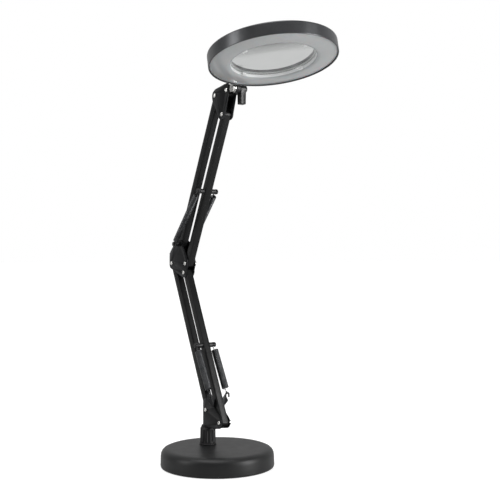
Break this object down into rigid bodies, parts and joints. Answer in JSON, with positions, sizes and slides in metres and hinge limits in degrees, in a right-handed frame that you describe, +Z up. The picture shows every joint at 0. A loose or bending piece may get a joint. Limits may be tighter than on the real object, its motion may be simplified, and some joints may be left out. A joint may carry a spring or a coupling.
{
  "type": "magnifying lamp",
  "caption": "Desk magnifying lamp: weighted round base, sprung parallelogram arms, and a tilting ring head with a lens, an LED ring and a frosted diffuser.",
  "frame": {"origin": "middle of the base's underside, on the table", "axes": "+X the way the arms reach and the head points, +Y along every arm pivot towards the wing knob, +Z up"},
  "size_m": [0.3214, 0.1592, 0.5435],
  "materials": {
    "base_cover": "satin black moulded cover",
    "weight_iron": "as cast",
    "black_paint": "satin black powder coat",
    "foam_pad": "closed-cell foam",
    "rubber": "matte",
    "dark_steel": "oiled steel",
    "spring_steel": "dark wound wire",
    "black_plastic": "moulded black",
    "nickel": "bright nickel plate",
    "ring_finish": "satin dark grey",
    "board_white": "white solder mask",
    "frosted": "frosted diffuser",
    "lens_glass": "polished lens"
  },
  "bodies": {
    "base": {"base_shell": "base_cover", "base_weight": "weight_iron", "base_plate": "black_paint", "base_pad": "foam_pad", "plate_screw_1": "dark_steel", "plate_screw_2": "dark_steel", "plate_screw_3": "dark_steel", "base_socket": "dark_steel", "collar": "black_plastic", "swivel_washer": "black_plastic"},
    "lower_bracket": {"lower_bracket": "black_paint", "swivel_pin": "dark_steel", "lower_rear_foot_screw": "nickel", "lower_rear_foot_nut": "nickel", "lower_front_foot_screw": "nickel", "lower_front_foot_nut": "nickel"},
    "lower_front_bar": {"lower_front_bar": "black_paint", "lower_crossbar": "black_plastic", "lower_spring_left": "spring_steel", "lower_spring_right": "spring_steel"},
    "lower_rear_bar": {"lower_rear_bar": "black_paint"},
    "elbow": {"elbow_bracket": "black_paint", "lower_rear_top_screw": "nickel", "lower_rear_top_nut": "nickel", "lower_front_top_screw": "nickel", "lower_front_top_nut": "nickel", "upper_front_foot_screw": "nickel", "upper_front_foot_nut": "nickel", "elbow_cross_pin": "black_plastic"},
    "upper_front_bar": {"upper_front_bar": "black_paint", "upper_crossbar": "black_plastic", "upper_spring_left": "spring_steel", "upper_spring_right": "spring_steel"},
    "upper_rear_bar": {"upper_rear_bar": "black_paint"},
    "head_bracket": {"head_bracket": "black_paint", "bracket_rivet": "nickel", "rivet_spacer": "black_plastic", "upper_rear_top_screw": "nickel", "upper_rear_top_nut": "nickel", "upper_front_top_screw": "nickel", "upper_front_top_nut": "nickel"},
    "head": {"head_housing": "ring_finish", "led_board": "board_white", "diffuser": "frosted", "lens": "lens_glass", "lens_clip_1": "frosted", "lens_clip_2": "frosted", "lens_clip_3": "frosted", "lens_clip_4": "frosted", "head_neck": "black_plastic", "neck_screw_1": "dark_steel", "neck_screw_2": "dark_steel", "cable_grommet": "rubber", "tilt_washer": "nickel", "tilt_nut": "nickel"},
    "wing_knob": {"wing_knob": "black_plastic", "tilt_stud": "nickel"}
  },
  "joints": [
    {"name": "base_swivel", "type": "hinge", "parent": "base", "child": "lower_bracket", "pos_m": [-0.024, 0, 0.048], "axis": [0, 0, 1], "continuous": true},
    {"name": "lower_arm_tilt", "type": "hinge", "parent": "lower_bracket", "child": "lower_front_bar", "pos_m": [0.0147, 0, 0.0589], "axis": [0, 1, 0], "range_deg": [-20, 60], "deforming": ["lower_spring_left", "lower_spring_right"]},
    {"name": "lower_rear_bar_pivot", "type": "hinge", "parent": "lower_bracket", "child": "lower_rear_bar", "pos_m": [-0.0189, 0, 0.0716], "axis": [0, 1, 0], "range_deg": [-22, 62]},
    {"name": "elbow_level", "type": "hinge", "parent": "lower_front_bar", "child": "elbow", "pos_m": [-0.07761, 0, 0.25418], "axis": [0, 1, 0], "range_deg": [-62, 22]},
    {"name": "upper_arm_tilt", "type": "hinge", "parent": "elbow", "child": "upper_front_bar", "pos_m": [-0.07331, 0, 0.26668], "axis": [0, 1, 0], "range_deg": [-30, 60], "deforming": ["upper_spring_left", "upper_spring_right"]},
    {"name": "upper_rear_bar_pivot", "type": "hinge", "parent": "elbow", "child": "upper_rear_bar", "pos_m": [-0.09061, 0, 0.29378], "axis": [0, 1, 0], "range_deg": [-32, 62]},
    {"name": "head_bracket_level", "type": "hinge", "parent": "upper_front_bar", "child": "head_bracket", "pos_m": [0.02036, 0, 0.46131], "axis": [0, 1, 0], "range_deg": [-62, 32]},
    {"name": "head_tilt", "type": "hinge", "parent": "head_bracket", "child": "head", "pos_m": [0.04126, 0, 0.49281], "axis": [0, 1, 0], "range_deg": [-30, 65]},
    {"name": "wing_knob_turn", "type": "hinge", "parent": "head_bracket", "child": "wing_knob", "pos_m": [0.04126, 0, 0.49281], "axis": [0, 1, 0], "range_deg": [-60, 60]}
  ],
  "couplings": [
    {"joint": "lower_rear_bar_pivot", "follows": "lower_arm_tilt", "ratio": 1},
    {"joint": "elbow_level", "follows": "lower_arm_tilt", "ratio": -1},
    {"joint": "upper_rear_bar_pivot", "follows": "upper_arm_tilt", "ratio": 1},
    {"joint": "head_bracket_level", "follows": "upper_arm_tilt", "ratio": -1}
  ]
}
